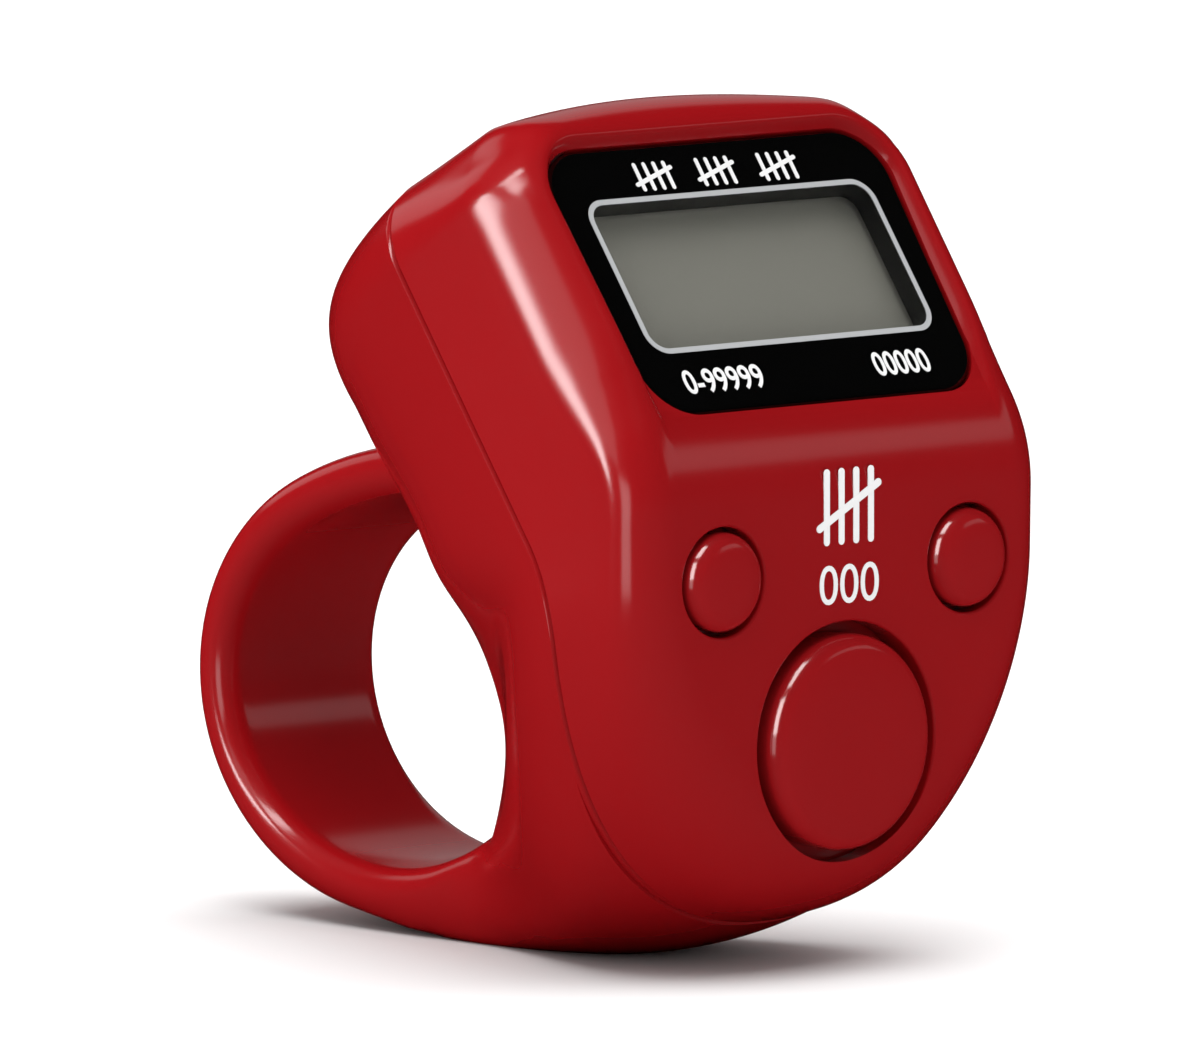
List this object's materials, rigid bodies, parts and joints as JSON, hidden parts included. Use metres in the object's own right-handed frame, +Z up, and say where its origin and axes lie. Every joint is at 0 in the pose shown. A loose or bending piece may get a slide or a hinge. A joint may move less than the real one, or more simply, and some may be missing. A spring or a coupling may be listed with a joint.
{
  "type": "finger ring tally counter",
  "caption": "Handheld digital tally counter worn on a finger ring, with a tilted display window and three push buttons.",
  "frame": {"origin": "middle of the bounding box's base, on the surface that the counter stands on", "axes": "+Z up, -Y out of the button face, +Y towards the finger ring, +X to the right as seen by somebody reading the display"},
  "size_m": [0.0296, 0.0446, 0.0438],
  "materials": {
    "red_plastic": "glossy red ABS",
    "window_black": "black printed acrylic, polished",
    "display": "grey reflective liquid crystal cell, off",
    "white_plastic": "white moulding",
    "rubber": "matt silicone rubber",
    "board": "green solder mask",
    "epoxy": "black epoxy",
    "steel": "nickel plated steel",
    "ribbon": "amber polyimide film"
  },
  "bodies": {
    "housing": {"front_case": "red_plastic", "rear_case": "red_plastic", "display_window": "window_black", "lcd_glass": "display", "lcd_reflector": "white_plastic", "display_frame": "white_plastic", "zebra_strip": "rubber", "display_board": "board", "counter_chip": "epoxy", "key_board": "board", "capacitor": "epoxy", "crystal_can": "steel", "flex_ribbon": "ribbon", "keypad_membrane": "rubber", "battery_cell": "steel", "contact_minus": "steel", "contact_plus": "steel", "case_screw_left": "steel", "case_screw_right": "steel"},
    "count_button": {"count_button": "red_plastic"},
    "mode_button": {"mode_button": "red_plastic"},
    "reset_button": {"reset_button": "red_plastic"}
  },
  "joints": [
    {"name": "count_press", "type": "slide", "parent": "housing", "child": "count_button", "axis": [0, 1, 0], "range_m": [0, 0.0008], "stiffness_N_per_m": 800, "springref_m": -0.0005},
    {"name": "mode_press", "type": "slide", "parent": "housing", "child": "mode_button", "axis": [0, 1, 0], "range_m": [0, 0.0005], "stiffness_N_per_m": 800, "springref_m": -0.0005},
    {"name": "reset_press", "type": "slide", "parent": "housing", "child": "reset_button", "axis": [0, 1, 0], "range_m": [0, 0.0005], "stiffness_N_per_m": 800, "springref_m": -0.0005}
  ]
}
